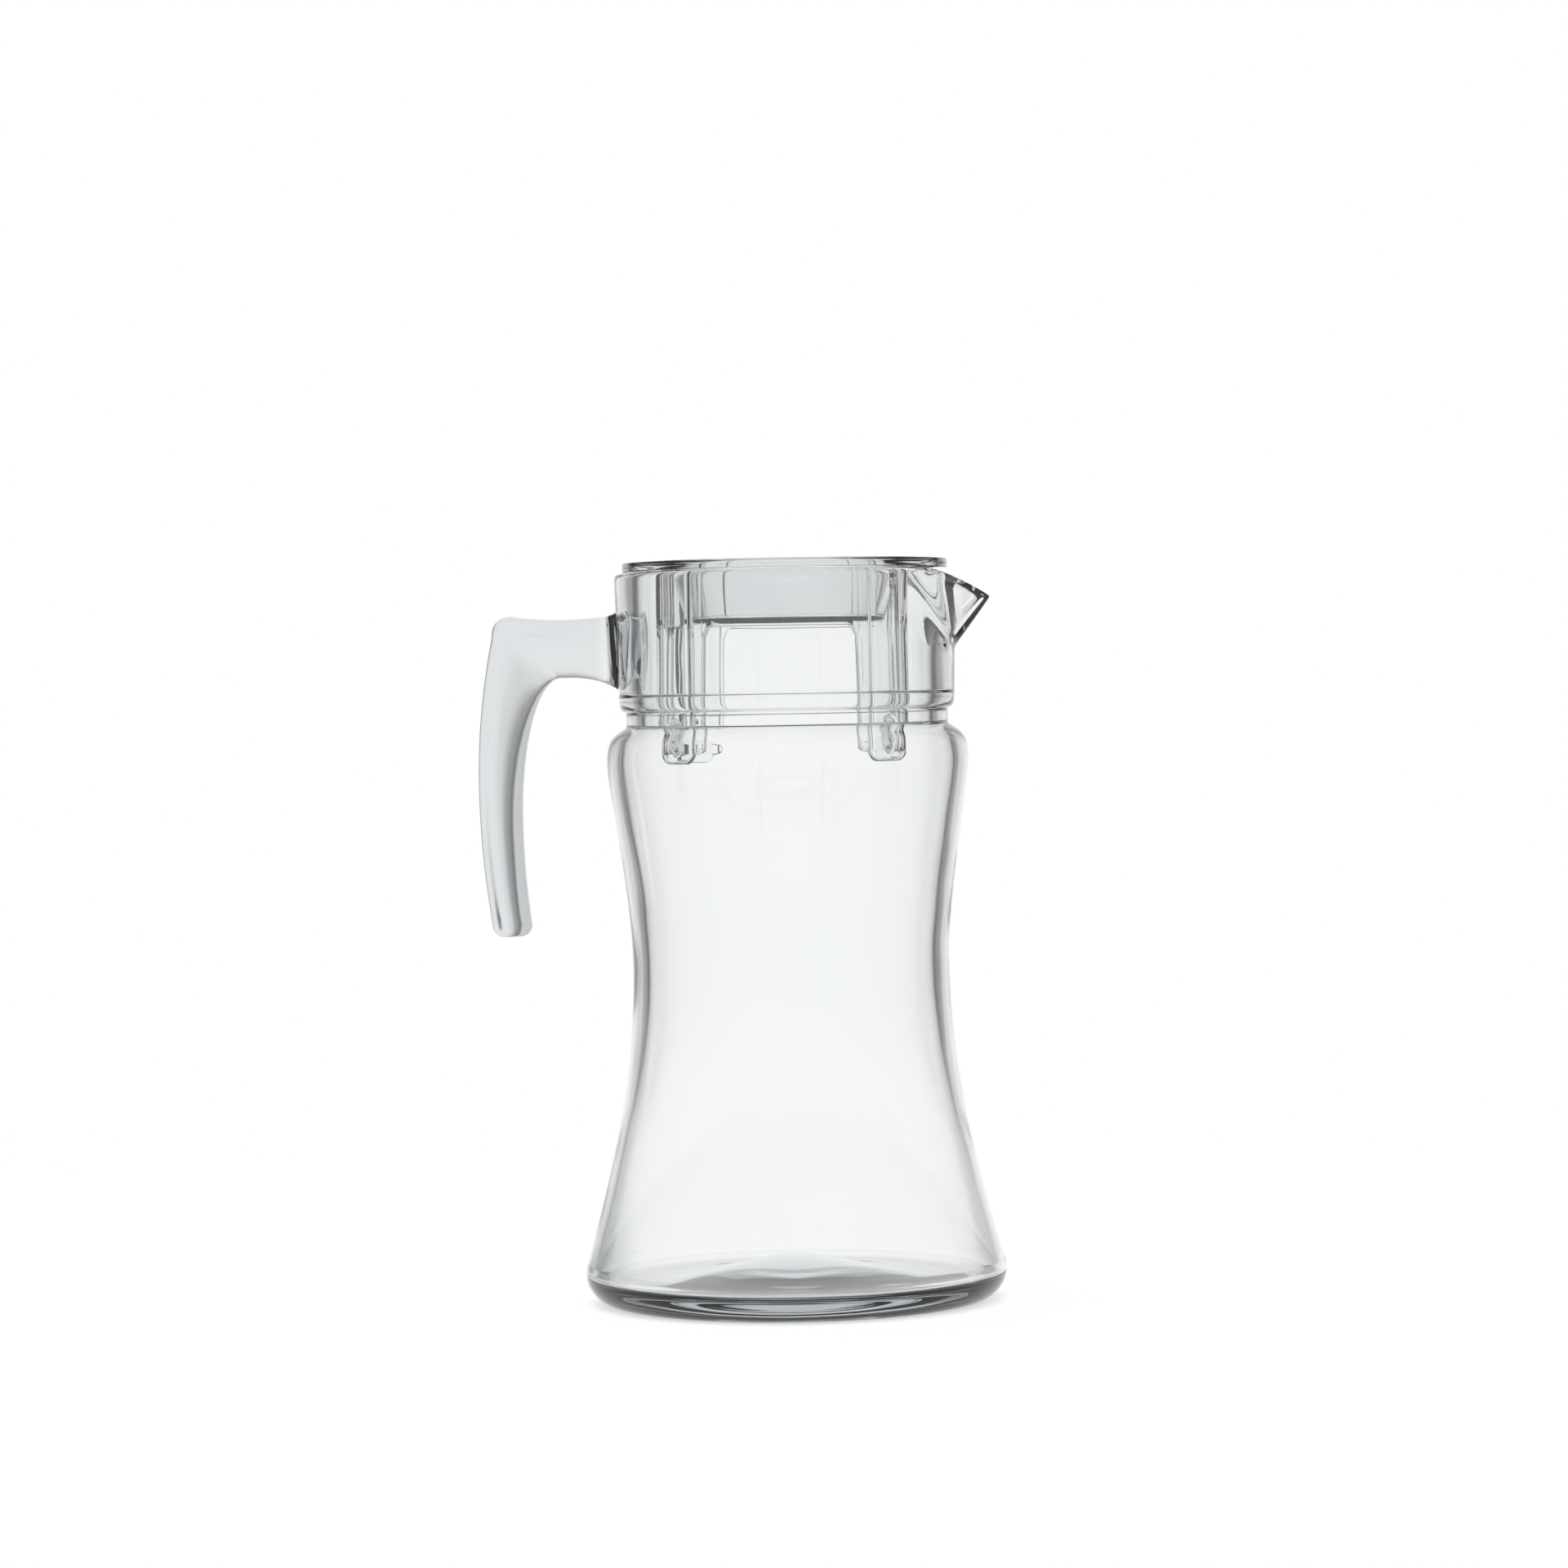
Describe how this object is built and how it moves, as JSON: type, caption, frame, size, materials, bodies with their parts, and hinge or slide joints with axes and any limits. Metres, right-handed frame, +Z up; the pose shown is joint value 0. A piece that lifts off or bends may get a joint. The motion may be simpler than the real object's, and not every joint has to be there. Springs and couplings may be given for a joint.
{
  "type": "glass jug with lid",
  "caption": "Waisted clear glass jug with a thick base, a grooved neck, a pulled pouring beak, a side handle with a free end and a clear drop-in lid on springy legs.",
  "frame": {"origin": "centre of the flat underside, on the jug's axis", "axes": "+Z up along the jug's axis, +X towards the pouring beak, the handle on the -X side"},
  "size_m": [0.162, 0.1312, 0.2303],
  "materials": {
    "jug_glass": "clear, polished",
    "handle_glass": "clear, fire-polished",
    "lid_plastic": "clear, glossy"
  },
  "bodies": {
    "jug": {"jug_body": "jug_glass", "handle": "handle_glass"},
    "lid": {"lid_cover": "lid_plastic"},
    "lid_cage": {"lid_cage": "lid_plastic"}
  },
  "joints": [
    {"name": "lid_lift", "type": "slide", "parent": "jug", "child": "lid", "axis": [0, 0, 1], "range_m": [0, 0.08]},
    {"name": "lid_turn", "type": "hinge", "parent": "lid", "child": "lid_cage", "pos_m": [0, 0, 0.2], "axis": [0, 0, 1], "continuous": true}
  ]
}
